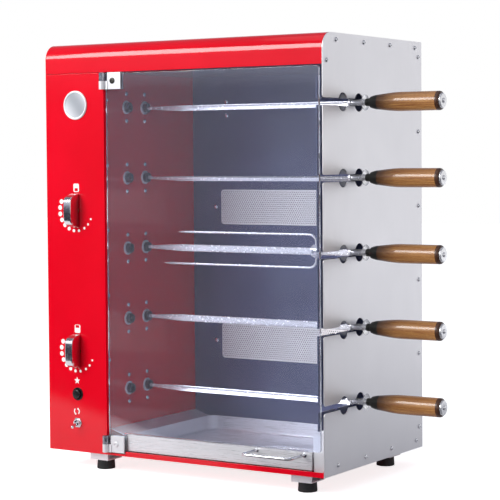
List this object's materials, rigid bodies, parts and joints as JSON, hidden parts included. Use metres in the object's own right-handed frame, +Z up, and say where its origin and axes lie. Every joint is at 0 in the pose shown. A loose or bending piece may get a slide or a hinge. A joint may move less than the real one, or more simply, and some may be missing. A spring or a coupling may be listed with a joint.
{
  "type": "vertical rotisserie",
  "caption": "Tall gas grill cabinet with a row of drive sockets, slotted side for wooden-handled skewers, ceramic burners at the back, glass door and drip tray drawer.",
  "frame": {"origin": "centre of the whole footprint, handles included, on the surface that the feet stand on", "axes": "+X along the skewers towards their handles, +Y from the glass door to the burners, +Z up"},
  "size_m": [0.67, 0.383, 0.693],
  "materials": {
    "red_enamel": "glossy red enamel, baked on",
    "stainless_sheet": "satin stainless sheet",
    "dark_sheet": "dark heat-tinted enamel",
    "zinc_sheet": "zinc-plated sheet",
    "polished_steel": "polished",
    "ceramic": null,
    "brass_parts": "machined",
    "sintered_steel": "oiled sintered steel",
    "sintered_bronze": "oiled sintered bronze",
    "motor_case": "plain die casting",
    "black_gloss": "moulded black",
    "black_metal": "black oxide",
    "hinge_steel": "satin plated",
    "tempered_glass": "tempered, slightly tinted",
    "beech_stained": "turned, stained and varnished",
    "rubber_black": "moulded"
  },
  "bodies": {
    "cabinet": {"hood": "red_enamel", "control_panel": "red_enamel", "left_side_panel": "red_enamel", "partition_wall": "red_enamel", "floor_pan": "red_enamel", "right_side_panel": "stainless_sheet", "rest_plate": "stainless_sheet", "back_wall": "dark_sheet", "rear_cover": "zinc_sheet", "burner_housings": "zinc_sheet", "burner_tiles": "ceramic", "gas_valves": "brass_parts", "gas_pipes": "brass_parts", "panel_switches": "black_gloss", "gear_motor": "motor_case", "bearing_rails": "sintered_bronze", "hinge_brackets": "hinge_steel", "badge_disc": "polished_steel", "rubber_feet": "rubber_black", "foot_brackets": "zinc_sheet", "tray_guides": "stainless_sheet"},
    "door": {"door_glass": "tempered_glass", "door_clamps": "hinge_steel"},
    "tray": {"drip_tray": "stainless_sheet", "tray_handle": "polished_steel"},
    "upper_knob": {"knob_upper": "polished_steel"},
    "lower_knob": {"knob_lower": "polished_steel"},
    "button": {"igniter_button": "black_gloss"},
    "lever": {"switch_lever": "polished_steel"},
    "rear_spindle_1": {"rear_drive_1": "sintered_steel"},
    "front_spindle_1": {"front_drive_1": "sintered_steel"},
    "rear_spindle_2": {"rear_drive_2": "sintered_steel"},
    "front_spindle_2": {"front_drive_2": "sintered_steel"},
    "rear_spindle_3": {"rear_drive_3": "sintered_steel"},
    "front_spindle_3": {"front_drive_3": "sintered_steel"},
    "rear_spindle_4": {"rear_drive_4": "sintered_steel"},
    "front_spindle_4": {"front_drive_4": "sintered_steel"},
    "rear_spindle_5": {"rear_drive_5": "sintered_steel"},
    "front_spindle_5": {"front_drive_5": "sintered_steel"},
    "idler_wheel_1": {"idler_1": "sintered_steel"},
    "idler_wheel_2": {"idler_2": "sintered_steel"},
    "idler_wheel_3": {"idler_3": "sintered_steel"},
    "idler_wheel_4": {"idler_4": "sintered_steel"},
    "skewer_set_1": {"skewer_1": "polished_steel", "ferrule_1": "black_metal", "handle_1": "beech_stained"},
    "skewer_set_2": {"skewer_2": "polished_steel", "ferrule_2": "black_metal", "handle_2": "beech_stained"},
    "skewer_set_3": {"skewer_3": "polished_steel", "ferrule_3": "black_metal", "handle_3": "beech_stained", "fork": "polished_steel"},
    "skewer_set_4": {"skewer_4": "polished_steel", "ferrule_4": "black_metal", "handle_4": "beech_stained"},
    "skewer_set_5": {"skewer_5": "polished_steel", "ferrule_5": "black_metal", "handle_5": "beech_stained"}
  },
  "joints": [
    {"name": "door_hinge", "type": "hinge", "parent": "cabinet", "child": "door", "pos_m": [-0.2155, -0.15578, 0.328], "axis": [0, 0, -1], "range_deg": [0, 110]},
    {"name": "tray_slide", "type": "slide", "parent": "cabinet", "child": "tray", "axis": [0, -1, 0], "range_m": [0, 0.2]},
    {"name": "upper_knob_turn", "type": "hinge", "parent": "cabinet", "child": "upper_knob", "pos_m": [-0.275, -0.16448, 0.4225], "axis": [0, -1, 0], "range_deg": [0, 250]},
    {"name": "lower_knob_turn", "type": "hinge", "parent": "cabinet", "child": "lower_knob", "pos_m": [-0.275, -0.16448, 0.193], "axis": [0, -1, 0], "range_deg": [0, 250]},
    {"name": "button_press", "type": "slide", "parent": "cabinet", "child": "button", "axis": [0, 1, 0], "range_m": [0, 0.004], "stiffness_N_per_m": 300},
    {"name": "lever_tilt", "type": "hinge", "parent": "cabinet", "child": "lever", "pos_m": [-0.275, -0.15398, 0.0758], "axis": [-1, 0, 0], "range_deg": [0, 50]},
    {"name": "rear_spin_1", "type": "hinge", "parent": "cabinet", "child": "rear_spindle_1", "pos_m": [-0.227, -0.03948, 0.13], "axis": [1, 0, 0], "continuous": true},
    {"name": "front_spin_1", "type": "hinge", "parent": "cabinet", "child": "front_spindle_1", "pos_m": [-0.227, -0.08948, 0.13], "axis": [1, 0, 0], "continuous": true},
    {"name": "rear_spin_2", "type": "hinge", "parent": "cabinet", "child": "rear_spindle_2", "pos_m": [-0.227, -0.03948, 0.245], "axis": [1, 0, 0], "continuous": true},
    {"name": "front_spin_2", "type": "hinge", "parent": "cabinet", "child": "front_spindle_2", "pos_m": [-0.227, -0.08948, 0.245], "axis": [1, 0, 0], "continuous": true},
    {"name": "rear_spin_3", "type": "hinge", "parent": "cabinet", "child": "rear_spindle_3", "pos_m": [-0.227, -0.03948, 0.36], "axis": [1, 0, 0], "continuous": true},
    {"name": "front_spin_3", "type": "hinge", "parent": "cabinet", "child": "front_spindle_3", "pos_m": [-0.227, -0.08948, 0.36], "axis": [1, 0, 0], "continuous": true},
    {"name": "rear_spin_4", "type": "hinge", "parent": "cabinet", "child": "rear_spindle_4", "pos_m": [-0.227, -0.03948, 0.475], "axis": [1, 0, 0], "continuous": true},
    {"name": "front_spin_4", "type": "hinge", "parent": "cabinet", "child": "front_spindle_4", "pos_m": [-0.227, -0.08948, 0.475], "axis": [1, 0, 0], "continuous": true},
    {"name": "rear_spin_5", "type": "hinge", "parent": "cabinet", "child": "rear_spindle_5", "pos_m": [-0.227, -0.03948, 0.59], "axis": [1, 0, 0], "continuous": true},
    {"name": "front_spin_5", "type": "hinge", "parent": "cabinet", "child": "front_spindle_5", "pos_m": [-0.227, -0.08948, 0.59], "axis": [1, 0, 0], "continuous": true},
    {"name": "idler_spin_1", "type": "hinge", "parent": "cabinet", "child": "idler_wheel_1", "pos_m": [-0.227, -0.03948, 0.1875], "axis": [1, 0, 0], "continuous": true},
    {"name": "idler_spin_2", "type": "hinge", "parent": "cabinet", "child": "idler_wheel_2", "pos_m": [-0.227, -0.03948, 0.3025], "axis": [1, 0, 0], "continuous": true},
    {"name": "idler_spin_3", "type": "hinge", "parent": "cabinet", "child": "idler_wheel_3", "pos_m": [-0.227, -0.03948, 0.4175], "axis": [1, 0, 0], "continuous": true},
    {"name": "idler_spin_4", "type": "hinge", "parent": "cabinet", "child": "idler_wheel_4", "pos_m": [-0.227, -0.03948, 0.5325], "axis": [1, 0, 0], "continuous": true},
    {"name": "skewer_pull_1", "type": "slide", "parent": "rear_spindle_1", "child": "skewer_set_1", "axis": [1, 0, 0], "range_m": [0, 0.41]},
    {"name": "skewer_pull_2", "type": "slide", "parent": "rear_spindle_2", "child": "skewer_set_2", "axis": [1, 0, 0], "range_m": [0, 0.41]},
    {"name": "skewer_pull_3", "type": "slide", "parent": "rear_spindle_3", "child": "skewer_set_3", "axis": [1, 0, 0], "range_m": [0, 0.045]},
    {"name": "skewer_pull_4", "type": "slide", "parent": "rear_spindle_4", "child": "skewer_set_4", "axis": [1, 0, 0], "range_m": [0, 0.41]},
    {"name": "skewer_pull_5", "type": "slide", "parent": "rear_spindle_5", "child": "skewer_set_5", "axis": [1, 0, 0], "range_m": [0, 0.41]}
  ],
  "couplings": [
    {"joint": "rear_spin_1", "follows": "rear_spin_3", "ratio": 1},
    {"joint": "front_spin_1", "follows": "rear_spin_3", "ratio": -1},
    {"joint": "rear_spin_2", "follows": "rear_spin_3", "ratio": 1},
    {"joint": "front_spin_2", "follows": "rear_spin_3", "ratio": -1},
    {"joint": "front_spin_3", "follows": "rear_spin_3", "ratio": -1},
    {"joint": "rear_spin_4", "follows": "rear_spin_3", "ratio": 1},
    {"joint": "front_spin_4", "follows": "rear_spin_3", "ratio": -1},
    {"joint": "rear_spin_5", "follows": "rear_spin_3", "ratio": 1},
    {"joint": "front_spin_5", "follows": "rear_spin_3", "ratio": -1},
    {"joint": "idler_spin_1", "follows": "rear_spin_3", "ratio": -0.76923},
    {"joint": "idler_spin_2", "follows": "rear_spin_3", "ratio": -0.76923},
    {"joint": "idler_spin_3", "follows": "rear_spin_3", "ratio": -0.76923},
    {"joint": "idler_spin_4", "follows": "rear_spin_3", "ratio": -0.76923}
  ]
}
